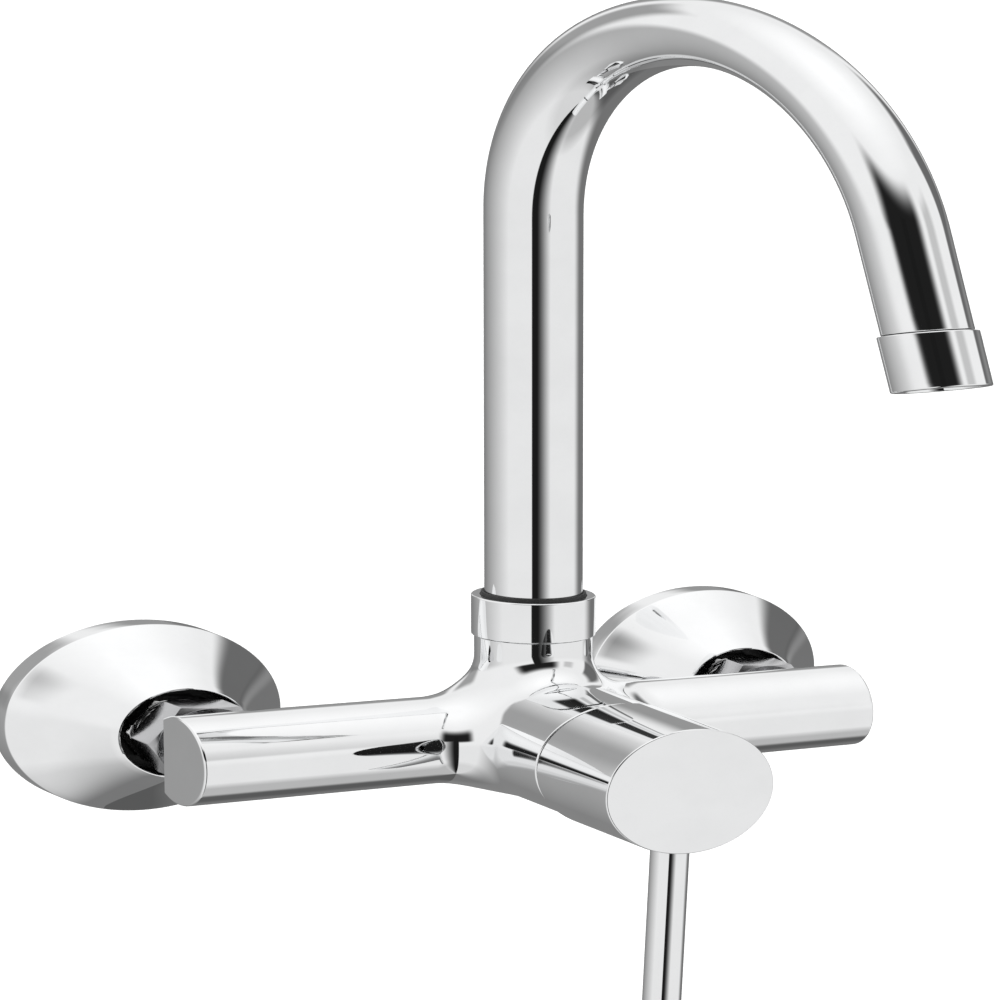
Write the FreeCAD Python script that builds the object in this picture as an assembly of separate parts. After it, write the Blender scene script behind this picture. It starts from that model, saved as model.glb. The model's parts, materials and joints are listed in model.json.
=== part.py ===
import FreeCAD, Part
import os
import math
from FreeCAD import Vector as V

# Wall-mounted single-lever sink mixer with a swivelling gooseneck spout.
# Frame: X to the right along the wall, Y into the wall, Z up.  The origin is
# the midpoint between the two inlets on the finished wall plane (y = 0), and
# the mixer stands in front of the wall, towards -Y.
# Everything below is written in the mixer's own body frame, whose origin is
# the crossing of the bar axis, the neck axis and the cartridge axis, and is
# shifted by -WALL along Y when it is written out.

os.makedirs("parts", exist_ok=True)

# ---------------------------------------------------------------- dimensions
CC = 150.0             # inlet centres
WALL = 62.0            # bar axis to finished wall

BAR_R = 15.5           # horizontal bar
ARM_END = 90.5         # bar axis centre to end face of each arm
FLAT_Y = 7.5           # milled seat at the back of each arm end
ARM_BORE_R = 10.2      # waterway in each arm
WEB_X = 9.5            # half width of the web between hot and cold side
NECK_R = 14.5          # spout neck
NECK_TOP = 36.4        # shoulder that the collar nut comes down to
NECK_THREAD_R = 13.4   # threaded end of the neck
NECK_END = 46.5        # top face of the neck
BARREL_R = 22.2        # cartridge barrel
BARREL_END = 48.0      # front face of the barrel
BLEND_R = 10.0         # cast fillets between neck, arms and barrel

NUT_AF = 25.0          # union nut across flats
NUT_Y0 = 18.3
NUT_Y1 = 30.3
G12_R = 10.48          # G 1/2 thread, major radius
LEG_STUD = 14.0        # threaded length inside the wall
SHANK_R = 10.1         # plain shank of the leg, under the flange
FLANGE_R = 33.4        # wall flange
FLANGE_RIM = 7.5       # cylindrical rim
FLANGE_HOLE_R = 15.4   # mouth of the recess round the nut
FLANGE_FRONT = 32.2    # mouth plane, from the bar axis
FLANGE_T = 1.4         # wall of the flange

TUBE_R = 12.0          # gooseneck tube
TUBE_RI = 10.9
RISER_TOP = 190.6      # where the bend begins
BEND_R = 78.1          # centreline radius
BEND_DEG = 161.8       # swept angle
TIP_STRAIGHT = 35.0    # straight run after the bend
SPOUT_YAW = 9.5        # spout turned to the right of straight ahead

COLLAR_R = 15.2        # swivel collar nut
COLLAR_Z0 = 36.6
COLLAR_Z1 = 51.3
WIPER_LIP = 1.25       # height of the rubber lip above the collar

AER_R = 13.15          # aerator shell
AER_LEN = 19.6

KNOB_R = 23.0
KNOB_BACK = 50.2       # back edge of the knob
KNOB_FACE = 89.0       # flat round face
PIVOT_Y = 36.0         # lift axis, from the bar axis
LEVER_Y = 79.0         # lever axis, from the bar axis
SPINDLE_END = 83.0     # the square shank reaches past the lever, so the grub screw bears on it
LEVER_R = 4.9
LEVER_SEAT = 22.1      # spot face in the knob's underside
LEVER_END = 81.0       # end of the lever below the cartridge axis
HANDLE_TURN0 = 2.0     # the lever hangs this far off vertical at rest

CART_R = 17.4          # 35 mm ceramic cartridge
SEAT_Y = 12.0          # floor of the cartridge bore, from the bar axis
DISC_REST = 1.9        # the moving disc's centre above the axis when shut

X, Y, Z = V(1, 0, 0), V(0, 1, 0), V(0, 0, 1)
O = V(0, 0, 0)


def cyl(r, h, p, d):
    return Part.makeCylinder(r, h, p, d)


def ring(ro, ri, h, p, d):
    return cyl(ro, h, p, d).cut(cyl(ri, h + 0.02, p - V(d.x, d.y, d.z).multiply(0.01), d))


def revolve(points, p, axis):
    """Closed profile of (radius, height) pairs, turned about an axis through p."""
    a = V(axis.x, axis.y, axis.z)
    a.normalize()
    side = X if abs(a.x) < 0.9 else Z
    side = side - a * side.dot(a)
    side.normalize()
    pts = [p + side * r + a * h for r, h in points]
    pts.append(pts[0])
    face = Part.Face(Part.makePolygon(pts))
    s = face.revolve(p, a, 360)
    return s if s.isValid() else s.removeSplitter()


def prism(n, af, h, p, axis, turn=0.0):
    """Regular prism, af across flats, along an axis."""
    a = V(axis.x, axis.y, axis.z)
    a.normalize()
    u = X if abs(a.x) < 0.9 else Z
    u = u - a * u.dot(a)
    u.normalize()
    v = a.cross(u)
    rc = af / 2.0 / math.cos(math.pi / n)
    pts = []
    for i in range(n):
        t = math.radians(turn) + 2 * math.pi * i / n
        pts.append(p + u * (rc * math.cos(t)) + v * (rc * math.sin(t)))
    pts.append(pts[0])
    return Part.Face(Part.makePolygon(pts)).extrude(a * h)


def soften(shape, pick, sizes, chamfer=False):
    """Fillet or chamfer the picked edges, trying smaller sizes if one fails."""
    edges = [e for e in shape.Edges if pick(e)]
    for r in sizes:
        try:
            s = shape.makeChamfer(r, edges) if chamfer else shape.makeFillet(r, edges)
            if s.isValid() and len(s.Solids) == 1 and s.Volume > 0:
                return s
        except Exception:
            pass
    return shape


def turned(shape, deg=HANDLE_TURN0):
    s = shape.copy()
    s.rotate(O, Y, deg)
    return s


def out(name, shape):
    s = shape.copy()
    s.translate(V(0, -WALL, 0))
    if len(s.Solids) == 1:
        s = s.Solids[0]
    print("%-28s solids %d  valid %s  volume %.1f mm3" % (name, len(s.Solids), s.isValid(), s.Volume))
    s.exportStep("parts/%s.step" % name)


# ---------------------------------------------------------------- mixer body
def curve(e):
    try:
        return e.Curve.TypeId
    except Exception:
        return None


def near_hub(e):
    """Edges where arms, ball and barrel meet."""
    b = e.BoundBox
    return (curve(e) in ("Part::GeomBSplineCurve", "Part::GeomCircle") and e.Length > 5
            and abs(b.XMin) < 50 and abs(b.XMax) < 50 and b.YMin > -40)


def round_neck(e):
    """Edges that lie on the neck's surface, where it leaves the casting."""
    b = e.BoundBox
    if curve(e) is None or b.ZMin < 5 or b.ZMax > 30:
        return False
    return all(abs(math.hypot(p.x, p.y) - NECK_R) < 0.05 for p in e.discretize(5))


bar = cyl(BAR_R, 2 * ARM_END, V(-ARM_END, 0, 0), X)
bar.rotate(O, X, -90)
barrel = cyl(BARREL_R, BARREL_END, O, V(0, -1, 0))
ball = Part.makeSphere(BARREL_R, O)
hub = bar.fuse([barrel, ball]).removeSplitter()
body = soften(hub, near_hub, [BLEND_R, 8.0, 6.0, 4.0])
body = body.fuse(cyl(NECK_R, NECK_TOP, O, Z)).removeSplitter()
body = soften(body, round_neck, [BLEND_R, 8.0, 6.0, 4.0])
print("body blends added", body.Volume - hub.Volume)
body = soften(body, lambda e: curve(e) == "Part::GeomCircle" and abs(e.BoundBox.YMax + BARREL_END) < 0.01
              and abs(e.BoundBox.YMin + BARREL_END) < 0.01, [0.6, 0.5])
body = soften(body, lambda e: curve(e) == "Part::GeomCircle" and abs(abs(e.BoundBox.XMin) - ARM_END) < 0.01
              and abs(abs(e.BoundBox.XMax) - ARM_END) < 0.01, [0.7, 0.4])
body = body.fuse(cyl(NECK_THREAD_R, NECK_END - NECK_TOP, V(0, 0, NECK_TOP), Z)).removeSplitter()

# milled seats at the back of the arm ends
for sx in (-1, 1):
    cut = Part.makeBox(ARM_END - CC / 2 + 1, 12, 2 * BAR_R + 2,
                       V(CC / 2 if sx > 0 else -ARM_END - 1, FLAT_Y, -BAR_R - 1))
    cut = cut.fuse(cyl(BAR_R + 0.2, 12, V(sx * CC / 2, FLAT_Y, 0), Y))
    body = body.cut(cut)
# waterways
for sx in (-1, 1):
    body = body.cut(cyl(ARM_BORE_R, ARM_END - 5 - WEB_X, V(sx * WEB_X, 0, 0), V(sx, 0, 0)))
    body = body.cut(cyl(8.0, FLAT_Y + 2, V(sx * CC / 2, 0, 0), Y))
    # port from the arm into the cartridge seat
    body = body.cut(cyl(3.6, 16, V(sx * 12.6, 0, -4.5), V(0, -1, 0)))
body = body.cut(cyl(CART_R + 0.2, BARREL_END - SEAT_Y + 1, V(0, -BARREL_END - 1, 0), Y))
body = body.cut(cyl(20.0, 13.0 + 1, V(0, -BARREL_END - 1, 0), Y))     # thread of the retaining nut
body = body.cut(cyl(11.6, NECK_END - 18.0 + 1, V(0, 0, 18.0), Z))      # seat of the spout tail
body = body.cut(cyl(5.0, 14, V(0, 0, 8.5), Z))
body = body.cut(cyl(4.6, SEAT_Y + 2, V(0, 0, 9.0), V(0, -1, 0)))       # mixed water to the neck
out("mixer_body", body)

# ---------------------------------------------------------------- inlets
for side, sx in (("left", -1), ("right", 1)):
    c = V(sx * CC / 2, 0, 0)

    # nipple in the arm, with the collar that the union nut pulls on
    tail = revolve([(5.6, -0.5), (7.95, -0.5), (7.95, FLAT_Y), (8.6, FLAT_Y + 0.02), (8.6, FLAT_Y + 1.6),
                    (7.5, FLAT_Y + 1.6), (7.5, NUT_Y0 + 3.6), (9.6, NUT_Y0 + 3.6), (9.6, NUT_Y0 + 5.8), (5.6, NUT_Y0 + 5.8)],
                   c, Y)
    out("%s_inlet_tail" % side, tail)

    # hexagon union nut, chamfered at both ends
    nut = prism(6, NUT_AF, NUT_Y1 - NUT_Y0, c + Y * NUT_Y0, Y, turn=4.0)
    rc = NUT_AF / 2 / math.cos(math.pi / 6)
    env = revolve([(0, NUT_Y0), (NUT_AF / 2 - 0.2, NUT_Y0), (rc + 0.05, NUT_Y0 + 1.1), (rc + 0.05, NUT_Y1 - 1.1),
                   (NUT_AF / 2 - 0.2, NUT_Y1), (0, NUT_Y1)], c, Y)
    nut = nut.common(env)
    nut = nut.cut(cyl(7.7, 10, c + Y * (NUT_Y0 - 1), Y))
    nut = nut.cut(cyl(G12_R + 0.03, 20, c + Y * (NUT_Y0 + 3.5), Y))
    out("%s_union_nut" % side, nut)

    # flat rubber washer with the strainer set in it
    w0 = NUT_Y0 + 5.82
    out("%s_union_washer" % side, ring(9.6, 6.4, 2.2, c + Y * w0, Y))
    mesh_disc = revolve([(0, w0 + 2.6), (3.5, w0 + 2.2), (5.9, w0 + 1.0), (6.3, w0 + 1.0), (6.3, w0 + 1.5),
                         (5.95, w0 + 1.5), (3.6, w0 + 2.75), (0, w0 + 3.15)], c, Y)
    out("%s_inlet_strainer" % side, mesh_disc)

    # connecting leg: union thread, spanner hexagon, stud into the wall
    l0 = w0 + 2.22
    hex0, hex1 = 36.0, 42.0
    leg = cyl(G12_R - 0.03, hex0 - l0, c + Y * l0, Y)
    leg = soften(leg, lambda e: e.BoundBox.YMax < l0 + 0.1, [0.8], True)
    leg = leg.fuse(prism(6, 22.0, hex1 - hex0, c + Y * hex0, Y, turn=4.0))
    stud = cyl(G12_R, LEG_STUD, c + Y * WALL, Y)
    stud = soften(stud, lambda e: e.BoundBox.YMin > WALL + LEG_STUD - 0.1, [1.0], True)
    leg = leg.fuse([cyl(SHANK_R, WALL - hex1, c + Y * hex1, Y), stud])
    leg = leg.cut(cyl(7.4, 80, c + Y * (l0 - 1), Y)).removeSplitter()
    out("%s_connecting_leg" % side, leg)

    # wall flange: thin cone with a rim, and a recess round the nut
    t = FLANGE_T
    rim0 = WALL - FLANGE_RIM
    cup = 43.5
    outer = [(FLANGE_HOLE_R + 0.3, FLANGE_FRONT), (FLANGE_HOLE_R + 1.0, FLANGE_FRONT + 0.25)]
    # slightly hollow cone from the mouth out to the rim
    for i in range(1, 8):
        f = i / 8.0
        r = FLANGE_HOLE_R + 1.0 + (FLANGE_R - FLANGE_HOLE_R - 1.0) * f
        y = FLANGE_FRONT + 0.25 + (rim0 - FLANGE_FRONT - 0.25) * f
        outer.append((r - 0.5 * math.sin(math.pi * f), y + 0.4 * math.sin(math.pi * f)))
    outer += [(FLANGE_R - 0.3, rim0 - 0.2), (FLANGE_R, rim0 + 0.3), (FLANGE_R, WALL)]
    inner = [(FLANGE_R - t, WALL), (FLANGE_R - t, rim0 + 1.4)]
    for i in range(7, 0, -1):
        f = i / 8.0
        r = FLANGE_HOLE_R + 2.4 + (FLANGE_R - t - FLANGE_HOLE_R - 2.4) * f
        y = FLANGE_FRONT + 2.6 + (rim0 + 1.4 - FLANGE_FRONT - 2.6) * f
        inner.append((r - 0.5 * math.sin(math.pi * f), y + 0.4 * math.sin(math.pi * f)))
    inner += [(FLANGE_HOLE_R + t, FLANGE_FRONT + 2.4), (FLANGE_HOLE_R + t, cup + t),
              (G12_R + 2.0, cup + t), (G12_R + 2.0, cup + 7.0), (SHANK_R + 0.1, cup + 7.0), (SHANK_R + 0.1, cup),
              (FLANGE_HOLE_R, cup), (FLANGE_HOLE_R, FLANGE_FRONT + 0.3)]
    out("%s_wall_flange" % side, revolve(outer + inner, c, Y))

# ---------------------------------------------------------------- cartridge
# body frame heights run towards -Y; s() turns a distance in front of the bar
# axis into a revolve height along -Y
NY = V(0, -1, 0)
seal_y = SEAT_Y
seals = []
for px, pz, pr in ((-12.6, -4.5, 3.4), (12.6, -4.5, 3.4), (0.0, 9.0, 4.5)):
    pr = min(pr, 3.9)
    seals.append(ring(pr + 1.2, pr - 0.9, 2.0, V(px * 0.80, -seal_y - 0.02, pz), NY))
out("cartridge_port_seals", Part.makeCompound(seals))

base = cyl(CART_R, 5.0, V(0, -seal_y - 0.8, 0), NY)
base = base.cut(cyl(CART_R - 1.0, 0.01, V(0, -seal_y - 0.8, 0), NY))
for px, pz, pr in ((-12.6, -4.5, 3.4), (12.6, -4.5, 3.4), (0.0, 9.0, 4.5)):
    pr = min(pr, 3.9)
    c0 = V(px * 0.80, -seal_y - 0.8, pz)
    base = base.cut(cyl(pr + 1.25, 1.25, c0 + V(0, 0.01, 0), NY))
    base = base.cut(cyl(pr - 0.9, 8, c0 + V(0, 1, 0), NY))
out("cartridge_base", base)

d0 = seal_y + 5.82
fixed = cyl(14.6, 3.6, V(0, -d0, 0), NY)
for px, pz in ((-10.08, -4.5), (10.08, -4.5)):
    slot = cyl(2.2, 5, V(px, -d0 + 0.5, pz - 1.6), NY).fuse(cyl(2.2, 5, V(px, -d0 + 0.5, pz + 1.6), NY))
    slot = slot.fuse(Part.makeBox(4.4, 5, 3.2, V(px - 2.2, -d0 - 4.5, pz - 1.6)))
    fixed = fixed.cut(slot)
fixed = fixed.cut(cyl(3.0, 6, V(0, -d0 + 0.5, 9.0), NY))
out("fixed_ceramic_disc", fixed.removeSplitter())

m0 = d0 + 3.62
moving = cyl(11.0, 3.4, V(0, -m0, DISC_REST), NY)
moving = moving.cut(cyl(6.6, 1.8, V(0, -m0 + 0.01, DISC_REST + 0.5), NY))
out("moving_ceramic_disc", turned(moving))
k0 = m0 + 3.42
driver = cyl(10.4, 2.6, V(0, -k0, DISC_REST), NY)
driver = driver.cut(Part.makeBox(5.2, 4, 5.2, V(-2.6, -k0 - 3.5, -2.6)))
out("disc_driver", turned(driver))

# housing round discs and carrier
h0 = seal_y + 5.82
h1 = 43.0
housing = cyl(CART_R, h1 - h0, V(0, -h0, 0), NY)
housing = housing.cut(cyl(15.4, 14.3, V(0, -h0 + 0.01, 0), NY))
housing = housing.cut(cyl(12.3, 30, V(0, -h0, 0), NY))
out("cartridge_housing", housing)

# turning carrier, with the slot that the spindle tilts in
c0y = k0 + 2.64
lift_half = 3.1
carrier = cyl(14.9, h0 + 14.0 - c0y, V(0, -c0y, 0), NY)
carrier = carrier.fuse(cyl(12.1, 43.6 - c0y, V(0, -c0y, 0), NY))
# slot along Z, open where the spindle swings
slot = Part.makeBox(2 * 3.35, 40, 2 * 8.6, V(-3.35, -60, -8.6))
carrier = carrier.cut(slot)
carrier = carrier.cut(cyl(1.52, 40, V(-20, -PIVOT_Y, 0), X))
out("turning_carrier", turned(carrier.removeSplitter()))
out("pivot_pin", turned(cyl(1.5, 23.4, V(-11.7, -PIVOT_Y, 0), X)))

# retaining nut screwed into the barrel, and the chromed dome over it
r0 = h1 + 0.02
ret = ring(19.95, 13.2, 4.4, V(0, -r0, 0), NY)
for i in range(6):
    a = math.radians(60 * i + 30)
    ret = ret.cut(cyl(1.3, 2.0, V(16.6 * math.cos(a), -r0 - 2.6, 16.6 * math.sin(a)), NY))
out("cartridge_retaining_nut", ret)

g0 = r0 + 4.42
dome_pts = [(19.3, g0), (19.3, g0 + 1.2)]
# part of a sphere about the lift axis
rho = 22.6
for i in range(0, 7):
    rr = 18.6 - (18.6 - 13.0) * i / 6.0
    dome_pts.append((rr, PIVOT_Y + math.sqrt(rho * rho - rr * rr) - 0.0))
dome_pts += [(12.8, dome_pts[-1][1] - 0.9)]
for i in range(6, -1, -1):
    rr = 17.4 - (17.4 - 12.8) * i / 6.0
    dome_pts.append((rr, PIVOT_Y + math.sqrt((rho - 1.3) ** 2 - rr * rr)))
dome_pts += [(17.4, g0)]
out("cartridge_dome_ring", revolve(dome_pts, O, NY))

# ---------------------------------------------------------------- handle
# spindle: square shank that tilts on the pivot pin, ball end in the driver
sp = Part.makeBox(6.4, SPINDLE_END - PIVOT_Y, 6.4, V(-3.2, -SPINDLE_END, -3.2))
sp = sp.fuse(Part.makeBox(6.4, 5.0, 6.0, V(-3.2, -PIVOT_Y, -3.0)))
foot = Part.makeSphere(2.45, V(0, -(k0 + 1.35), 0))
foot = foot.cut(Part.makeBox(8, 8, 8, V(-4, -(k0 + 0.34), -4)))
stem = cyl(2.1, PIVOT_Y - (k0 + 1.35), V(0, -(k0 + 1.35), 0), NY)
sp = sp.fuse([stem, foot])
sp = sp.cut(cyl(1.54, 10, V(-5, -PIVOT_Y, 0), X))
sp = sp.removeSplitter()
out("lever_spindle", turned(sp))

# knob: round cap, hub on the spindle, boss for the lever
f = KNOB_FACE
kp = [(0.0, f), (KNOB_R - 0.45, f), (KNOB_R, f - 0.45), (KNOB_R, KNOB_BACK + 1.0), (KNOB_R - 0.3, KNOB_BACK + 0.3),
      (KNOB_R - 0.9, KNOB_BACK), (20.4, KNOB_BACK + 7.0), (20.4, f - 3.0), (0.0, f - 3.0)]
knob = revolve(kp, O, NY)
hub = cyl(8.6, f - 2.5 - 59.0, V(0, -59.0, 0), NY)
hub = hub.fuse(cyl(7.2, 22.5, V(0, -LEVER_Y, 0), V(0, 0, -1)).common(cyl(KNOB_R - 1.0, 60, V(0, -40, 0), NY)))
knob = knob.fuse(hub)
knob = knob.cut(Part.makeBox(6.5, SPINDLE_END + 0.2 - 45, 6.5, V(-3.25, -SPINDLE_END - 0.2, -3.25)))
knob = knob.cut(cyl(2.55, 20, V(0, -LEVER_Y, 0), V(0, 0, -1)))
knob = knob.cut(cyl(3.03, 13.0, V(0, -LEVER_Y, -12.0), V(0, 0, -1)))
knob = knob.cut(cyl(LEVER_R + 0.08, 3.0, V(0, -LEVER_Y, -LEVER_SEAT), V(0, 0, -1)))   # spot face
out("handle_knob", turned(knob.removeSplitter()))

# the grub screw bears on the square shank
out("handle_grub_screw", turned(cyl(2.5, 7.6, V(0, -LEVER_Y, -3.4), V(0, 0, -1))))

lev = revolve([(0, 12.4), (3.0, 12.4), (3.0, LEVER_SEAT + 0.03), (LEVER_R, LEVER_SEAT + 0.03), (LEVER_R, LEVER_END - 0.8),
               (LEVER_R - 0.25, LEVER_END - 0.25), (LEVER_R - 0.9, LEVER_END), (0, LEVER_END)],
              V(0, -LEVER_Y, 0), V(0, 0, -1))
out("lever_pin", turned(lev))

# ---------------------------------------------------------------- spout
yaw = math.radians(SPOUT_YAW)
D = V(math.sin(yaw), -math.cos(yaw), 0)
z_sh = NECK_END + 0.04

tail_bush = revolve([(8.6, 19.5), (11.52, 19.5), (11.52, 24.0), (9.9, 24.0), (9.9, 26.6), (11.52, 26.6),
                     (11.52, 33.0), (9.9, 33.0), (9.9, 35.6), (11.52, 35.6), (11.52, z_sh), (13.0, z_sh),
                     (13.0, z_sh + 1.9), (TUBE_RI - 0.02, z_sh + 1.9), (TUBE_RI - 0.02, z_sh + 11.0), (8.6, z_sh + 11.0)],
                    O, Z)
out("spout_tail", tail_bush)
orings = []
for z in (25.3, 34.3):
    orings.append(Part.makeTorus(10.72, 0.82, V(0, 0, z), Z))
out("spout_o_rings", Part.makeCompound(orings))

t0 = z_sh + 1.92
start = V(0, 0, t0)
top = V(0, 0, RISER_TOP)
cen = V(0, 0, RISER_TOP) + D * BEND_R


def on_bend(deg):
    a = math.radians(deg)
    return cen - D * (BEND_R * math.cos(a)) + Z * (BEND_R * math.sin(a))


end_bend = on_bend(BEND_DEG)
tang = D * math.sin(math.radians(BEND_DEG)) + Z * math.cos(math.radians(BEND_DEG))
tip = end_bend + tang * TIP_STRAIGHT
path = Part.Wire([Part.LineSegment(start, top).toShape(),
                  Part.Arc(top, on_bend(BEND_DEG / 2), end_bend).toShape(),
                  Part.LineSegment(end_bend, tip).toShape()])


def swept(r):
    circ = Part.Wire(Part.Circle(start, Z, r).toShape())
    return path.makePipeShell([circ], True, False)


tube = swept(TUBE_R).cut(swept(TUBE_RI))
length = (RISER_TOP - t0) + math.radians(BEND_DEG) * BEND_R + TIP_STRAIGHT
print("tube length %.1f, volume %.1f against %.1f" % (length, tube.Volume, length * math.pi * (TUBE_R ** 2 - TUBE_RI ** 2)))
out("spout_tube", tube)

# nozzle ring brazed into the tip, with the aerator's thread
noz = revolve([(8.2, -10.0), (TUBE_RI - 0.02, -10.0), (TUBE_RI - 0.02, 0.02), (11.3, 0.02), (11.3, 8.5), (8.2, 8.5)], tip, tang)
out("spout_nozzle", noz)
# aerator shell
a0 = 0.35
shell = revolve([(12.0, a0), (AER_R - 0.4, a0), (AER_R, a0 + 0.4), (AER_R, a0 + AER_LEN - 0.7), (AER_R - 0.35, a0 + AER_LEN),
                 (10.2, a0 + AER_LEN), (9.9, a0 + AER_LEN - 1.6), (11.34, a0 + AER_LEN - 1.8), (11.34, a0 + 0.8)], tip, tang)
out("aerator_shell", shell)
# aerator: plastic cartridge with a perforated plate, mesh and washer
w = 8.52
out("aerator_washer", ring(11.2, 7.9, 1.6, tip + tang * w, tang))
ins = revolve([(0, w + 4.0), (9.0, w + 4.0), (9.0, w + 1.62), (11.2, w + 1.62), (11.2, w + 3.4), (9.9, w + 3.6), (9.85, a0 + AER_LEN - 2.0),
               (8.4, a0 + AER_LEN - 2.0), (8.4, w + 6.0), (0, w + 6.0)], tip, tang)
e1 = tang.cross(Z)
e1.normalize()
e2 = tang.cross(e1)
for rr, m in ((3.0, 6), (6.2, 12)):
    for i in range(m):
        a = 2 * math.pi * i / m
        ins = ins.cut(cyl(0.75, 4, tip + tang * (w + 3.0) + e1 * (rr * math.cos(a)) + e2 * (rr * math.sin(a)), tang))
out("aerator_insert", ins)
out_y = a0 + AER_LEN - 3.2
# stainless screen, a thin plate with square meshes
grid = cyl(8.38, 0.6, tip + tang * (out_y - 0.3), tang)
holes = []
for i in range(-4, 5):
    for j in range(-4, 5):
        qx, qy = i * 1.72, j * 1.72
        if math.hypot(abs(qx) + 0.6, abs(qy) + 0.6) > 7.7:
            continue
        p0 = tip + tang * (out_y - 1.0) + e1 * qx + e2 * qy
        pts = [p0 + e1 * (sx * 0.6) + e2 * (sy * 0.6) for sx, sy in ((-1, -1), (1, -1), (1, 1), (-1, 1))]
        pts.append(pts[0])
        holes.append(Part.Face(Part.makePolygon(pts)).extrude(tang * 2.0))
grid = grid.cut(Part.makeCompound(holes))
out("aerator_screen", grid)

# swivel collar nut, wiper ring and slide ring: they stay with the neck
slide_z = z_sh + 1.9 + 0.05
out("slide_ring", ring(13.3, 12.15, 0.75, V(0, 0, slide_z), Z))
lip_z = slide_z + 0.77
collar = revolve([(NECK_THREAD_R + 0.03, COLLAR_Z0), (COLLAR_R - 0.45, COLLAR_Z0), (COLLAR_R, COLLAR_Z0 + 0.45),
                  (COLLAR_R, COLLAR_Z1 - 0.45), (COLLAR_R - 0.45, COLLAR_Z1), (13.0, COLLAR_Z1),
                  (13.0, lip_z + 0.75), (12.3, lip_z + 0.75), (12.3, lip_z), (NECK_THREAD_R + 0.03, lip_z)], O, Z)
out("swivel_collar_nut", collar)
# the wiper's lip stands up round the tube, above the collar
out("collar_wiper_ring", revolve([(12.08, lip_z + 0.77), (12.97, lip_z + 0.77), (12.97, COLLAR_Z1 + 0.2), (12.78, COLLAR_Z1 + WIPER_LIP),
                                  (12.08, COLLAR_Z1 + WIPER_LIP - 0.1)], O, Z))

print("tip", tip, "tang", tang, "outlet", tip + tang * (a0 + AER_LEN))
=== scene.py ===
import json
import math
import bpy
import bmesh
import numpy as np
from mathutils import Matrix, Vector

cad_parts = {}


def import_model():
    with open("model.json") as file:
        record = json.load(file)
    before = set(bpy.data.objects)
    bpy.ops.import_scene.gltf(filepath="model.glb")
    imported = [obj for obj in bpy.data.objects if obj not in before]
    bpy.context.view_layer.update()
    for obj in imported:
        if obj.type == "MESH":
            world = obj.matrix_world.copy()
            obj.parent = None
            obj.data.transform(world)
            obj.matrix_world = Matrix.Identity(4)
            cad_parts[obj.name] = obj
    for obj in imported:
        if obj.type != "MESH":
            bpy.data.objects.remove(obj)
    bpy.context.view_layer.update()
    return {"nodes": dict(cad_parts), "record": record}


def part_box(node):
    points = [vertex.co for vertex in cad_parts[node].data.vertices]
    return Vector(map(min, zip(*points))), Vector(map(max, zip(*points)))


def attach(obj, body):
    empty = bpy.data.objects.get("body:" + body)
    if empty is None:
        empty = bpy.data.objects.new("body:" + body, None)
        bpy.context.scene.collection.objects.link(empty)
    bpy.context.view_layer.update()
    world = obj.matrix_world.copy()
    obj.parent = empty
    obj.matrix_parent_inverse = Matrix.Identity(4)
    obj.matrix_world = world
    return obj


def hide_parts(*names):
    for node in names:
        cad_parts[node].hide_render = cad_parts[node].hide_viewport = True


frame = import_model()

C = bpy.context.scene.collection
MM = 0.001
WALL = 62.0            # bar axis to wall: the body frame's origin is at y = -WALL
WIPER_TOP = (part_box("collar_wiper_ring")[1][2]) / MM - 0.02

# ------------------------------------------------------------------ settings
scene = bpy.context.scene
scene.view_settings.view_transform = "Standard"
scene.view_settings.look = "None"
scene.view_settings.exposure = 0.0
scene.view_settings.gamma = 1.0


# ================================================================== materials
def new_material(name):
    m = bpy.data.materials.new(name)
    m.use_nodes = True
    nt = m.node_tree
    nt.nodes.clear()
    out = nt.nodes.new("ShaderNodeOutputMaterial")
    bsdf = nt.nodes.new("ShaderNodeBsdfPrincipled")
    nt.links.new(bsdf.outputs[0], out.inputs["Surface"])
    return m, nt, bsdf


def ramp(nt, fac, stops):
    r = nt.nodes.new("ShaderNodeValToRGB")
    el = r.color_ramp.elements
    while len(el) < len(stops):
        el.new(0.5)
    for e, (p, c) in zip(el, stops):
        e.position = p
        e.color = (c[0], c[1], c[2], 1.0) if hasattr(c, "__len__") else (c, c, c, 1.0)
    nt.links.new(fac, r.inputs["Fac"])
    return r.outputs["Color"]


def coords(nt, scale=(1, 1, 1)):
    tc = nt.nodes.new("ShaderNodeTexCoord")
    mp = nt.nodes.new("ShaderNodeMapping")
    mp.inputs["Scale"].default_value = scale
    nt.links.new(tc.outputs["Object"], mp.inputs["Vector"])
    return mp.outputs["Vector"]


def noise(nt, vec, scale, detail=2.0, rough=0.5):
    n = nt.nodes.new("ShaderNodeTexNoise")
    n.inputs["Scale"].default_value = scale
    n.inputs["Detail"].default_value = detail
    n.inputs["Roughness"].default_value = rough
    nt.links.new(vec, n.inputs["Vector"])
    return n.outputs["Fac"]


def rng(nt, fac, lo, hi, a=0.0, b=1.0):
    m = nt.nodes.new("ShaderNodeMapRange")
    m.inputs["From Min"].default_value = a
    m.inputs["From Max"].default_value = b
    m.inputs["To Min"].default_value = lo
    m.inputs["To Max"].default_value = hi
    nt.links.new(fac, m.inputs["Value"])
    return m.outputs["Result"]


def bump(nt, bsdf, height, strength, distance, prev=None):
    b = nt.nodes.new("ShaderNodeBump")
    b.inputs["Strength"].default_value = strength
    b.inputs["Distance"].default_value = distance
    nt.links.new(height, b.inputs["Height"])
    if prev is not None:
        nt.links.new(prev, b.inputs["Normal"])
    nt.links.new(b.outputs["Normal"], bsdf.inputs["Normal"])
    return b.outputs["Normal"]


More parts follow.
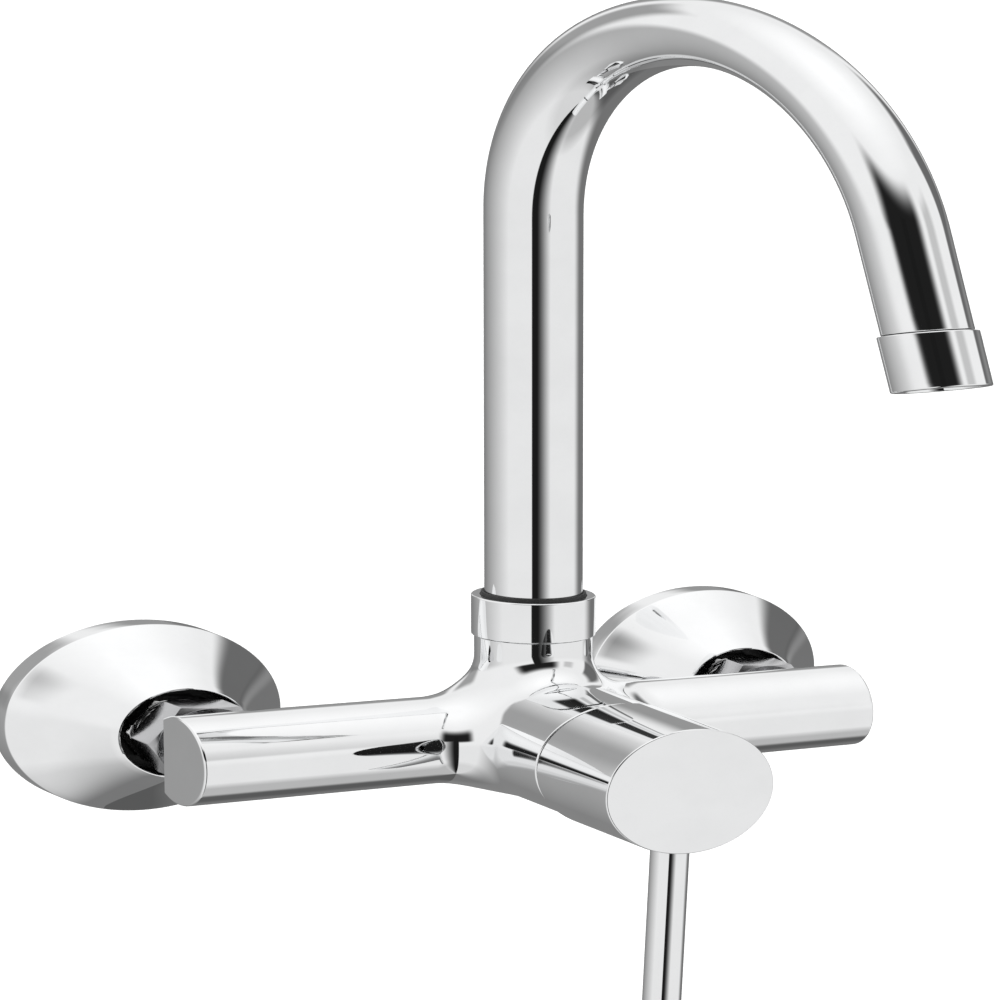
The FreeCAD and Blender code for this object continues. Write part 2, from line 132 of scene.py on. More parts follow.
def chrome(name, wave=0.0, rough=(0.018, 0.045), tint=(0.93, 0.935, 0.94)):
    """Bright chrome plate: faint polishing haze in the gloss, and on castings a slow waviness."""
    m, nt, b = new_material(name)
    v = coords(nt)
    b.inputs["Metallic"].default_value = 1.0
    haze = noise(nt, v, 55.0, 4.0, 0.6)
    fine = noise(nt, v, 900.0, 2.0, 0.5)
    mix = nt.nodes.new("ShaderNodeMath")
    mix.operation = "MULTIPLY"
    nt.links.new(haze, mix.inputs[0])
    nt.links.new(fine, mix.inputs[1])
    nt.links.new(rng(nt, mix.outputs[0], rough[0], rough[1], 0.12, 0.42), b.inputs["Roughness"])
    lo = tuple(c * 0.965 for c in tint)
    nt.links.new(ramp(nt, haze, [(0.30, lo), (0.62, tint)]), b.inputs["Base Color"])
    if wave > 0:
        bump(nt, b, noise(nt, v, 38.0, 1.0, 0.4), 0.6, wave)
    return m


def machined_brass(name):
    m, nt, b = new_material(name)
    v = coords(nt)
    b.inputs["Metallic"].default_value = 1.0
    n = noise(nt, v, 160.0, 5.0, 0.6)
    nt.links.new(ramp(nt, n, [(0.3, (0.56, 0.40, 0.16)), (0.7, (0.76, 0.58, 0.27))]), b.inputs["Base Color"])
    nt.links.new(rng(nt, noise(nt, v, 420.0, 3.0), 0.20, 0.38), b.inputs["Roughness"])
    bump(nt, b, noise(nt, v, 2600.0, 2.0), 0.25, 0.00004)
    return m


def rubber(name):
    m, nt, b = new_material(name)
    v = coords(nt)
    n = noise(nt, v, 500.0, 4.0, 0.6)
    nt.links.new(ramp(nt, n, [(0.3, 0.010), (0.7, 0.022)]), b.inputs["Base Color"])
    nt.links.new(rng(nt, n, 0.42, 0.62), b.inputs["Roughness"])
    bump(nt, b, noise(nt, v, 3200.0, 2.0), 0.3, 0.00005)
    return m


def steel(name):
    m, nt, b = new_material(name)
    v = coords(nt, (1, 1, 30))
    b.inputs["Metallic"].default_value = 1.0
    n = noise(nt, v, 90.0, 4.0, 0.6)
    nt.links.new(ramp(nt, n, [(0.3, 0.46), (0.7, 0.60)]), b.inputs["Base Color"])
    nt.links.new(rng(nt, n, 0.18, 0.34), b.inputs["Roughness"])
    return m


def plastic(name, dark, light, rough=(0.30, 0.45), grain=1400.0):
    m, nt, b = new_material(name)
    v = coords(nt)
    n = noise(nt, v, 120.0, 4.0, 0.6)
    nt.links.new(ramp(nt, n, [(0.3, dark), (0.7, light)]), b.inputs["Base Color"])
    nt.links.new(rng(nt, n, rough[0], rough[1]), b.inputs["Roughness"])
    bump(nt, b, noise(nt, v, grain, 2.0), 0.2, 0.00004)
    return m


M_CHROME = chrome("chrome_plate", 0.0)
M_CAST = chrome("chrome_cast", 0.00006)
M_TUBE = chrome("chrome_tube", 0.00002)
M_SPUN = chrome("chrome_spun", 0.00004)
M_PLATED = chrome("plated_brass", 0.00003, (0.10, 0.18), (0.80, 0.80, 0.80))
M_NUT = chrome("nut_plate", 0.00003, (0.13, 0.20), (0.60, 0.60, 0.61))
M_BRASS = machined_brass("machined_brass")
M_RUBBER = rubber("black_rubber")
M_STEEL = steel("stainless_steel")
M_PLASTIC = plastic("cartridge_plastic", (0.52, 0.53, 0.54), (0.62, 0.63, 0.64))
# near-black painted shade for the flange's recess: it darkens the cup's inner wall where shadow falls, and is no
# coating the part has
M_PAINTED_RECESS_SHADE = plastic("painted_recess_shade", (0.006, 0.006, 0.006), (0.014, 0.014, 0.015), (0.35, 0.55), 1800.0)
M_CERAMIC = plastic("alumina_ceramic", (0.78, 0.76, 0.71), (0.84, 0.83, 0.79), (0.08, 0.16), 2600.0)
M_ACETAL = plastic("white_acetal", (0.72, 0.72, 0.70), (0.80, 0.80, 0.78), (0.25, 0.4))
SLOT_MATS = {"polished_chrome": M_CHROME, "brass": M_BRASS, "black_rubber": M_RUBBER, "stainless_steel": M_STEEL,
             "cartridge_plastic": M_PLASTIC, "alumina_ceramic": M_CERAMIC, "white_acetal": M_ACETAL}

for s in frame["record"]["subparts"]:
    o = frame["nodes"][s["node"]]
    mat = SLOT_MATS[s["material_slot"]]
    if not o.material_slots:
        o.data.materials.append(mat)
    for k in range(len(o.material_slots)):
        o.material_slots[k].material = mat


# ================================================================== mesh tools
def arc_corner(prev, p, nxt, r, n=6):
    """Points that round the corner p of a profile with radius r."""
    a, b, c = map(np.array, (prev, p, nxt))
    u, v = (a - b), (c - b)
    lu, lv = np.linalg.norm(u), np.linalg.norm(v)
    u, v = u / lu, v / lv
    cosang = float(np.clip(np.dot(u, v), -1, 1))
    half = math.acos(cosang) / 2
    if half > math.pi / 2 - 0.02:
        return [tuple(b)]
    t = min(r / math.tan(half), 0.48 * min(lu, lv))
    r = t * math.tan(half)
    s, e = b + u * t, b + v * t
    mid = (u + v) / np.linalg.norm(u + v)
    cen = b + mid * (r / math.sin(half))
    a0 = math.atan2(*(s - cen)[::-1])
    a1 = math.atan2(*(e - cen)[::-1])
    d = (a1 - a0 + math.pi) % (2 * math.pi) - math.pi
    return [tuple(cen + r * np.array([math.cos(a0 + d * i / n), math.sin(a0 + d * i / n)])) for i in range(n + 1)]


def rounded(points, radii, n=6):
    """Closed (r, h) profile with its corners rounded."""
    out = []
    m = len(points)
    for i, (p, r) in enumerate(zip(points, radii)):
        if r > 0:
            out += arc_corner(points[i - 1], p, points[(i + 1) % m], r, n)
        else:
            out.append(tuple(p))
    return out


def basis(axis, ref=None):
    a = np.array(axis, float)
    a /= np.linalg.norm(a)
    u = np.array(ref if ref is not None else ((1, 0, 0) if abs(a[0]) < 0.9 else (0, 0, 1)), float)
    u -= a * np.dot(u, a)
    u /= np.linalg.norm(u)
    return a, u, np.cross(a, u)


def world(co):
    co = np.asarray(co, float).copy()
    co[:, 1] -= WALL
    return co * MM


def make(name, verts, faces, mat, body, nodes=(), slot=None, angle=28.0, normals=None):
    me = bpy.data.meshes.new(name)
    me.from_pydata([tuple(v) for v in world(verts)], [], [tuple(f) for f in faces])
    me.validate()
    o = bpy.data.objects.new(name, me)
    C.objects.link(o)
    finish_mesh(o, angle)
    me.materials.append(mat)
    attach(o, body)
    if nodes:
        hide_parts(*nodes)
    return o


def finish_mesh(o, angle=28.0):
    bm = bmesh.new()
    bm.from_mesh(o.data)
    bmesh.ops.remove_doubles(bm, verts=bm.verts, dist=2e-7)
    bmesh.ops.dissolve_degenerate(bm, edges=bm.edges, dist=1e-7)
    bmesh.ops.recalc_face_normals(bm, faces=bm.faces)
    bm.to_mesh(o.data)
    bm.free()
    for p in o.data.polygons:
        p.use_smooth = True
    o.data.set_sharp_from_angle(angle=math.radians(angle))


def lathe(profile, origin, axis, seg=128, ref=None):
    """Closed (radius, height) profile turned about an axis; points on the axis close into poles."""
    a, u, v = basis(axis, ref)
    o = np.array(origin, float)
    verts, rings = [], []
    for r, h in profile:
        if r < 1e-6:
            rings.append([len(verts)])
            verts.append(o + a * h)
        else:
            rings.append(list(range(len(verts), len(verts) + seg)))
            for i in range(seg):
                t = 2 * math.pi * i / seg
                verts.append(o + a * h + u * (r * math.cos(t)) + v * (r * math.sin(t)))
    faces = []
    n = len(rings)
    for k in range(n):
        A, B = rings[k], rings[(k + 1) % n]
        if len(A) == 1 and len(B) == 1:
            continue
        for i in range(seg):
            j = (i + 1) % seg
            if len(A) == 1:
                faces.append((A[0], B[i], B[j]))
            elif len(B) == 1:
                faces.append((A[i], B[0], A[j]))
            else:
                faces.append((A[i], B[i], B[j], A[j]))
    return np.array(verts), faces


def boolean(o, cutter, op="DIFFERENCE"):
    md = o.modifiers.new("cut", "BOOLEAN")
    md.operation = op
    md.solver = "EXACT"
    md.object = cutter
    dg = bpy.context.evaluated_depsgraph_get()
    me = bpy.data.meshes.new_from_object(o.evaluated_get(dg))
    o.modifiers.clear()
    old = o.data
    o.data = me
    bpy.data.meshes.remove(old)
    bpy.data.objects.remove(cutter)


def raw(name, verts, faces):
    me = bpy.data.meshes.new(name)
    me.from_pydata([tuple(v) for v in world(verts)], [], [tuple(f) for f in faces])
    o = bpy.data.objects.new(name, me)
    C.objects.link(o)
    bm = bmesh.new()
    bm.from_mesh(me)
    bmesh.ops.remove_doubles(bm, verts=bm.verts, dist=2e-7)
    bmesh.ops.recalc_face_normals(bm, faces=bm.faces)
    bm.to_mesh(me)
    bm.free()
    return o


def split_turn(p, deg):
    """Turns points about the barrel's axis (Y through the body origin)."""
    t = math.radians(deg)
    p = np.asarray(p, float)
    x, z = p[:, 0].copy(), p[:, 2].copy()
    q = p.copy()
    q[:, 0] = x * math.cos(t) + z * math.sin(t)
    q[:, 2] = -x * math.sin(t) + z * math.cos(t)
    return q


def apply_modifiers(o):
    dg = bpy.context.evaluated_depsgraph_get()
    me = bpy.data.meshes.new_from_object(o.evaluated_get(dg), preserve_all_data_layers=True, depsgraph=dg)
    o.modifiers.clear()
    old = o.data
    o.data = me
    bpy.data.meshes.remove(old)


def weigh_normals(o):
    """Large faces keep their true normals beside small rounded edges."""
    md = o.modifiers.new("weigh", "WEIGHTED_NORMAL")
    md.mode = "FACE_AREA"
    md.keep_sharp = True
    apply_modifiers(o)


def densify(profile, longest):
    """Splits the long runs of a closed profile evenly."""
    out = []
    m = len(profile)
    for i in range(m):
        a, b = profile[i], profile[(i + 1) % m]
        d = math.hypot(b[0] - a[0], b[1] - a[1])
        out.append(a)
        if a[0] < 1e-6 and b[0] < 1e-6:
            continue
        k = max(1, int(math.ceil(d / longest)))
        for j in range(1, k):
            t = j / k
            out.append((a[0] + (b[0] - a[0]) * t, a[1] + (b[1] - a[1]) * t))
    return out


def settle(o, mat, body, nodes=(), angle=30.0, mats=()):
    """Cleans a piece's mesh, gives it its finish and hangs it on its body."""
    finish_mesh(o, angle)
    weigh_normals(o)
    if not o.data.materials:
        o.data.materials.append(mat)
        for m in mats:
            o.data.materials.append(m)
    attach(o, body)
    if nodes:
        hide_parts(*nodes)
    return o


def turned_solid(name, profile, origin, axis, seg=160, longest=4.0, turn=0.0, ref=None):
    v, f = lathe(densify(profile, longest), origin, axis, seg, ref)
    if turn:
        v = split_turn(v, turn)
    return raw(name, v, f)


def block(name, lo, hi, turn=0.0):
    xs, ys, zs = zip(lo, hi)
    v = [(x, y, z) for x in xs for y in ys for z in zs]
    f = [(0, 1, 3, 2), (4, 6, 7, 5), (0, 4, 5, 1), (2, 3, 7, 6), (0, 2, 6, 4), (1, 5, 7, 3)]
    v = np.array(v, float)
    if turn:
        v = split_turn(v, turn)
    return raw(name, v, f)


# ------------------------------------------------------------------ dimensions, as in the solids
TURN = 2.0
YAW = math.radians(9.5)
DIR = np.array([math.sin(YAW), -math.cos(YAW), 0.0])
UP = np.array([0.0, 0.0, 1.0])
BEND = math.radians(161.8)
CEN = UP * 190.6 + DIR * 78.1
TANG = DIR * math.sin(BEND) + UP * math.cos(BEND)
END_BEND = CEN - DIR * (78.1 * math.cos(BEND)) + UP * (78.1 * math.sin(BEND))
TIP = END_BEND + TANG * 35.0
Z_SH = 46.54


# ------------------------------------------------------------------ spout tube
def spout_tube():
    pts, tans = [], []
    z0 = Z_SH + 1.92
    for i in range(24):
        pts.append(UP * (z0 + (190.6 - z0) * i / 24.0))
        tans.append(UP)
    n = 96
    for i in range(n + 1):
        a = BEND * i / n
        pts.append(CEN - DIR * (78.1 * math.cos(a)) + UP * (78.1 * math.sin(a)))
        tans.append(DIR * math.sin(a) + UP * math.cos(a))
    for i in range(1, 9):
        pts.append(END_BEND + TANG * (35.0 * i / 8.0))
        tans.append(TANG)
    side = np.cross(DIR, UP)
    seg = 112
    rows = []

    def row(p, t, r, shift=0.0):
        m = np.cross(side, t)
        rows.append([p + t * shift + m * (r * math.cos(2 * math.pi * k / seg)) + side * (r * math.sin(2 * math.pi * k / seg))
                     for k in range(seg)])

    ro, ri, e = 12.0, 10.9, 0.3
    last = len(pts) - 1
    for q in range(5):
        a = math.pi / 2 * q / 4
        row(pts[0], tans[0], ro - e + e * math.sin(a), e - e * math.cos(a))
    for i in range(1, last):
        row(pts[i], tans[i], ro)
    for q in range(5):
        a = math.pi / 2 * q / 4
        row(pts[last], tans[last], ro - e + e * math.cos(a), -e + e * math.sin(a))
    row(pts[last], tans[last], ri)
    for i in range(last - 1, 0, -1):
        row(pts[i], tans[i], ri)
    row(pts[0], tans[0], ri)
    verts = [p for r in rows for p in r]
    faces = []
    m = len(rows)
    for a in range(m):
        b = (a + 1) % m
        for k in range(seg):
            l = (k + 1) % seg
            faces.append((a * seg + k, a * seg + l, b * seg + l, b * seg + k))
    o = raw("gooseneck_tube", np.array(verts), faces)
    return settle(o, M_TUBE, "spout", ("spout_tube",))


spout_tube()

# ------------------------------------------------------------------ aerator shell, with a fine rounded rim
shell = rounded([(12.0, 0.35), (13.15, 0.35), (13.15, 19.95), (10.25, 19.95), (9.95, 18.35), (11.34, 18.15), (11.34, 1.15)],
                [0.12, 0.40, 0.55, 0.25, 0.1, 0.0, 0.0], 8)
o = turned_solid("aerator_sleeve", shell, TIP, TANG, 144, 1.6)
settle(o, M_CHROME, "spout", ("aerator_shell",))

# black seat between tube and sleeve
o = turned_solid("aerator_seat", rounded([(11.33, 0.04), (11.86, 0.04), (11.86, 0.30), (11.33, 0.30)], [0.08] * 4, 3), TIP, TANG, 128, 1.0)
settle(o, M_RUBBER, "spout", ())

# ------------------------------------------------------------------ swivel collar and wiper
LIP = 49.26
collar = rounded([(13.43, 36.72), (15.2, 36.72), (15.2, 51.3), (13.0, 51.3), (13.0, LIP + 0.75), (12.3, LIP + 0.75), (12.3, LIP), (13.43, LIP)],
                 [0.1, 0.28, 0.50, 0.20, 0.0, 0.08, 0.08, 0.0], 8)
o = turned_solid("swivel_collar", collar, (0, 0, 0), (0, 0, 1), 176, 1.6)
settle(o, M_CHROME, "mixer", ("swivel_collar_nut",))

wiper = rounded([(12.10, LIP + 0.77), (12.97, LIP + 0.77), (12.97, 51.45), (12.78, WIPER_TOP), (12.10, WIPER_TOP - 0.1)],
                [0.0, 0.1, 0.2, 0.28, 0.12], 6)
o = turned_solid("wiper_lip", wiper, (0, 0, 0), (0, 0, 1), 144, 0.6)
settle(o, M_RUBBER, "mixer", ("collar_wiper_ring",))

# ------------------------------------------------------------------ dome over the cartridge
g0 = 47.44
dome = [(19.3, g0), (19.3, g0 + 1.2)]
for i in range(17):
    rr = 18.6 - 5.6 * i / 16.0
    dome.append((rr, 36.0 + math.sqrt(22.6 ** 2 - rr * rr)))
dome.append((12.8, dome[-1][1] - 0.9))
for i in range(16, -1, -1):
    rr = 17.4 - 4.6 * i / 16.0
    dome.append((rr, 36.0 + math.sqrt(21.3 ** 2 - rr * rr)))
dome.append((17.4, g0))
o = turned_solid("dome_cover", dome, (0, 0, 0), (0, -1, 0), 160, 1.2)
settle(o, M_SPUN, "mixer", ("cartridge_dome_ring",))

# ------------------------------------------------------------------ knob and lever
F = 89.0
LEVER_Y = 79.0
cap = rounded([(0.0, F), (23.0, F), (23.0, 50.2), (22.1, 50.2), (20.4, 57.2), (20.4, F - 3.0), (8.6, F - 3.0), (8.6, 59.0), (0.0, 59.0)],
              [0, 0.50, 1.1, 0.2, 0, 0, 0.8, 0.3, 0], 8)
o = turned_solid("knob_cap", cap, (0, 0, 0), (0, -1, 0), 192, 2.4, TURN)
boss = turned_solid("boss", [(0, 8.0), (7.2, 8.0), (7.2, 21.2), (0, 21.2)], (0, -LEVER_Y, 0), (0, 0, -1), 64, 4.0, TURN)
boolean(o, boss, "UNION")
boolean(o, block("socket", (-3.25, -83.2, -3.25), (3.25, -45.0, 3.25), TURN))
boolean(o, turned_solid("grub_hole", [(0, 2.0), (2.55, 2.0), (2.55, 30.0), (0, 30.0)], (0, -LEVER_Y, 0), (0, 0, -1), 48, 6.0, TURN))
boolean(o, turned_solid("pin_hole", [(0, 12.0), (3.03, 12.0), (3.03, 30.0), (0, 30.0)], (0, -LEVER_Y, 0), (0, 0, -1), 48, 6.0, TURN))
boolean(o, turned_solid("spot_face", [(0, 22.1), (4.98, 22.1), (4.98, 30.0), (0, 30.0)], (0, -LEVER_Y, 0), (0, 0, -1), 64, 6.0, TURN))
settle(o, M_CHROME, "handle", ("handle_knob",))

pin = rounded([(0.0, 12.4), (3.0, 12.4), (3.0, 22.13), (4.9, 22.13), (4.9, 81.0), (0.0, 81.0)], [0, 0.3, 0.1, 0.12, 0.85, 0], 8)
o = turned_solid("pin_lever", pin, (0, -LEVER_Y, 0), (0, 0, -1), 96, 2.4, TURN)
settle(o, M_CHROME, "handle", ("lever_pin",))


# ------------------------------------------------------------------ wall flanges
def flange(side, sx):
    t, rim0, cup, mouth, R, front = 1.4, 54.5, 43.5, 15.4, 33.4, 32.2
    n = 26
    out = [(mouth, front + 0.42), (mouth + 0.10, front + 0.15), (mouth + 0.32, front + 0.02), (mouth + 0.62, front + 0.03)]
    for i in range(1, n):
        f = i / n
        r = mouth + 0.8 + (R - 0.25 - mouth - 0.8) * f
        y = front + 0.12 + (rim0 - 0.15 - front - 0.12) * f
        out.append((r - 0.5 * math.sin(math.pi * f), y + 0.4 * math.sin(math.pi * f)))
    # rounded edge between cone and rim
    out += [(R - 0.20, rim0 - 0.06), (R - 0.07, rim0 + 0.10), (R, rim0 + 0.36), (R, WALL - 0.25), (R - 0.08, WALL - 0.07), (R - 0.25, WALL),
            (R - t, WALL), (R - t, rim0 + 1.4)]
    for i in range(n - 1, 0, -1):
        f = i / n
        r = mouth + 2.4 + (R - t - mouth - 2.4) * f
        y = front + 2.6 + (rim0 + 1.4 - front - 2.6) * f
        out.append((r - 0.5 * math.sin(math.pi * f), y + 0.4 * math.sin(math.pi * f)))
    out += [(mouth + t, front + 2.4), (mouth + t, cup + t), (12.48, cup + t), (12.48, cup + 7.0), (10.2, cup + 7.0), (10.2, cup), (mouth, cup)]
    o = turned_solid("%s_flange" % side, out, (sx * 75.0, 0, 0), (0, 1, 0), 192, 3.2)
    o.data.materials.append(M_SPUN)
    o.data.materials.append(M_PAINTED_RECESS_SHADE)
    # faces inside the recess get the near-black painted shade (material 1)
    for p in o.data.polygons:
        c = p.center
        rr = math.hypot(c.x - sx * 0.075, c.z) / MM
        yy = c.y / MM + WALL
        if rr < mouth + 0.02 and yy > front + 0.6 and yy < cup + 0.1:
            p.material_index = 1
    return settle(o, M_SPUN, "mixer", ("%s_wall_flange" % side,))


# ------------------------------------------------------------------ union nuts
def hex_prism(name, af, y0, y1, cx, turn, edge):
    """Hexagonal bar along Y, with slightly rounded long edges."""
    rc = af / 2 / math.cos(math.pi / 6)
    pts = []
    corners = [(rc * math.cos(math.radians(turn + 60 * i)), rc * math.sin(math.radians(turn + 60 * i))) for i in range(6)]
    for i in range(6):
        pts += arc_corner(corners[i - 1], corners[i], corners[(i + 1) % 6], edge, 5)
    verts, faces = [], []
    rows = 7
    m = len(pts)
    # the section's first direction is X, its second is Y x X = -Z
    for j in range(rows):
        y = y0 + (y1 - y0) * j / (rows - 1)
        verts += [(cx + p[0], y, -p[1]) for p in pts]
    for j in range(rows - 1):
        for k in range(m):
            l = (k + 1) % m
            faces.append((j * m + k, j * m + l, (j + 1) * m + l, (j + 1) * m + k))
    faces.append(tuple(range(m)))
    faces.append(tuple(range((rows - 1) * m, rows * m)))
    return raw(name, np.array(verts, float), faces)


def union_nut(side, sx):
    af, y0, y1 = 25.0, 18.3, 30.3
    rc = af / 2 / math.cos(math.pi / 6)
    o = hex_prism("%s_nut" % side, af, y0, y1, sx * 75.0, 4.0, 0.45)
    c = (sx * 75.0, 0, 0)
    env = [(0, y0), (af / 2 - 0.35, y0), (af / 2 - 0.05, y0 + 0.10), (rc + 0.4, y0 + 1.35), (rc + 0.4, y1 - 1.35), (af / 2 - 0.05, y1 - 0.10),
           (af / 2 - 0.35, y1), (0, y1)]
    boolean(o, turned_solid("env", env, c, (0, 1, 0), 144, 8.0), "INTERSECT")
    bore = [(0, y0 - 1), (8.2, y0 - 1), (8.2, y0), (7.7, y0 + 0.5), (7.7, y0 + 3.4), (10.51, y0 + 3.5), (10.51, y1 - 0.6), (11.1, y1), (11.1, y1 + 1), (0, y1 + 1)]
    boolean(o, turned_solid("bore", bore, c, (0, 1, 0), 112, 8.0))
    return settle(o, M_NUT, "mixer", ("%s_union_nut" % side,), 20.0)


# ------------------------------------------------------------------ connecting legs with their threads
def leg(side, sx):
    cols = 96
    cx = sx * 75.0
    l0, hex0, hex1, end = 26.34, 36.0, 42.0, 76.0
    pitch = 1.814
    th = [math.radians(4.0) + 2 * math.pi * k / cols for k in range(cols)]

    def thread(y, t, ya, yb, crest):
        ph = ((y / pitch) + t / (2 * math.pi)) % 1.0
        tri = 1.0 - abs(2.0 * ph - 1.0) * 1.0
        depth = 1.16 * (0.5 - 0.5 * math.cos(math.pi * min(1.0, max(0.0, tri * 1.25 - 0.125))))
        fade = min(1.0, max(0.0, (y - ya) / 1.0), 1.0) * min(1.0, max(0.0, (yb - y) / 1.0))
        return crest - depth * fade

    def hexr(t, y):
        d = (t - math.radians(4.0)) % (math.pi / 3) - math.pi / 6
        r = 11.0 / math.cos(d)
        lim = 12.3 + 0.9 * 2.0
        near = min(y - hex0, hex1 - y)
        return min(r, 11.25 + near * 1.9, lim)

    rows = []

    def ring_of(fn, y):
        rows.append([(cx + fn(t) * math.cos(t), y, -fn(t) * math.sin(t)) for t in th])

    ring_of(lambda t: 7.4, l0)
    ring_of(lambda t: 9.35, l0)
    n = 46
    for i in range(n + 1):
        y = l0 + 0.35 + (hex0 - 0.9 - l0 - 0.35) * i / n
        lead = min(1.0, 0.25 + (y - l0) / 1.0)
        ring_of(lambda t, y=y, lead=lead: min(thread(y, t, l0 - 1.0, hex0 - 0.9, 10.45), 9.35 + 1.1 * lead), y)
    ring_of(lambda t: 10.1, hex0 - 0.6)
    ring_of(lambda t: 10.1, hex0)
    for y in (hex0, hex0 + 0.25, hex0 + 0.6, hex0 + 1.0, hex0 + 2.0, hex0 + 3.0, hex1 - 2.0, hex1 - 1.0, hex1 - 0.6, hex1 - 0.25, hex1):
        ring_of(lambda t, y=y: hexr(t, y), y)
    ring_of(lambda t: 10.1, hex1)
    for i in range(1, 7):
        ring_of(lambda t: 10.1, hex1 + (WALL - hex1) * i / 6.0)
    n = 66
    for i in range(n + 1):
        y = WALL + 0.05 + (end - 0.25 - WALL) * i / n
        lead = min(1.0, (end - y) / 1.2)
        ring_of(lambda t, y=y, lead=lead: min(thread(y, t, WALL, end + 1.0, 10.48), 9.3 + 1.18 * lead), y)
    ring_of(lambda t: 9.25, end)
    ring_of(lambda t: 7.6, end)
    ring_of(lambda t: 7.4, end - 0.2)
    for i in range(1, 10):
        ring_of(lambda t: 7.4, end - 0.2 - (end - 0.2 - l0 - 1.0) * i / 9.0)
    verts = [p for r in rows for p in r]
    faces = []
    m = len(rows)
    for a in range(m):
        b = (a + 1) % m
        for k in range(cols):
            l = (k + 1) % cols
            faces.append((a * cols + k, a * cols + l, b * cols + l, b * cols + k))
    o = raw("%s_leg" % side, np.array(verts), faces)
    return settle(o, M_PLATED, "mixer", ("%s_connecting_leg" % side,), 34.0)


for side, sx in (("left", -1), ("right", 1)):
    flange(side, sx)
    union_nut(side, sx)
    leg(side, sx)


# ------------------------------------------------------------------ cast body
BAR_R, BARREL_R, NECK_R, BLEND = 15.5, 22.2, 14.5, 10.0


def cast_distance(p):
    """Distance to the casting's outside: bar, barrel with its round back, and neck, with cast fillets."""
    x, y, z = p[..., 0], p[..., 1], p[..., 2]
    bar = np.sqrt(y * y + z * z) - BAR_R
    barrel = np.sqrt(x * x + z * z + np.maximum(y, 0.0) ** 2) - BARREL_R
    neck = np.sqrt(x * x + y * y + np.minimum(z, 0.0) ** 2) - NECK_R
    u = np.maximum(BLEND - bar, 0.0)
    v = np.maximum(BLEND - barrel, 0.0)
    w = np.maximum(BLEND - neck, 0.0)
    lowest = np.minimum(np.minimum(bar, barrel), neck)
    return np.maximum(BLEND, lowest) - np.sqrt(u * u + v * v + w * w)


def cast_gradient(p, e=0.01):
    g = np.zeros_like(p)
    for k in range(3):
        d = np.zeros(3)
        d[k] = e
        g[..., k] = (cast_distance(p + d) - cast_distance(p - d)) / (2 * e)
    return g


def onto_cast(p, times=4):
    for _ in range(times):
        g = cast_gradient(p)
        f = cast_distance(p)
        p = p - g * (f / np.maximum((g * g).sum(axis=-1), 0.05))[..., None]
    return p


def surface_net(lo, hi, h):
    """Even quads over the casting's middle; its three openings end in flat rings."""
    n = [int(round((b - a) / h)) for a, b in zip(lo, hi)]
    ax = [a + h * np.arange(k + 1) for a, k in zip(lo, n)]
    G = np.stack(np.meshgrid(*ax, indexing="ij"), axis=-1)
    F = cast_distance(G)
    inside = F < 0
    total = np.zeros((n[0], n[1], n[2], 3))
    count = np.zeros((n[0], n[1], n[2]))
    quads = []
    for k in range(3):
        a = [slice(None)] * 3
        b = [slice(None)] * 3
        a[k], b[k] = slice(0, -1), slice(1, None)
        fa, fb = F[tuple(a)], F[tuple(b)]
        cross = (fa < 0) != (fb < 0)
        t = fa / np.where(cross, fa - fb, 1.0)
        pts = G[tuple(a)] + (G[tuple(b)] - G[tuple(a)]) * t[..., None]
        i1, i2 = (k + 1) % 3, (k + 2) % 3
        idx = np.argwhere(cross)
        P = pts[cross]
        sign = (fa[cross] < 0)
        for d1 in (0, 1):
            for d2 in (0, 1):
                c = idx.copy()
                c[:, i1] -= d1
                c[:, i2] -= d2
                ok = np.all((c >= 0) & (c < np.array(n)), axis=1)
                np.add.at(total, tuple(c[ok].T), P[ok])
                np.add.at(count, tuple(c[ok].T), 1)
        around = []
        good = np.ones(len(idx), bool)
        for d1, d2 in ((0, 0), (1, 0), (1, 1), (0, 1)):
            c = idx.copy()
            c[:, i1] -= d1
            c[:, i2] -= d2
            good &= np.all((c >= 0) & (c < np.array(n)), axis=1)
            around.append(c)
        for q in np.nonzero(good)[0]:
            f = [tuple(c[q]) for c in around]
            quads.append(f if sign[q] else f[::-1])
    active = count > 0
    number = -np.ones(n, int)
    number[active] = np.arange(int(active.sum()))
    verts = total[active] / count[active][:, None]
    faces = np.array([[number[c] for c in f] for f in quads])
    return verts, faces


def border_loops(faces):
    seen = {}
    for f in faces:
        for a, b in zip(f, np.roll(f, -1)):
            seen[(int(a), int(b))] = seen.get((int(a), int(b)), 0) + 1
    nxt = {a: b for (a, b) in seen if (b, a) not in seen}
    loops = []
    while nxt:
        a = next(iter(nxt))
        loop = [a]
        b = nxt.pop(a)
        while b != a:
            loop.append(b)
            b = nxt.pop(b)
        loops.append(loop)
    return loops


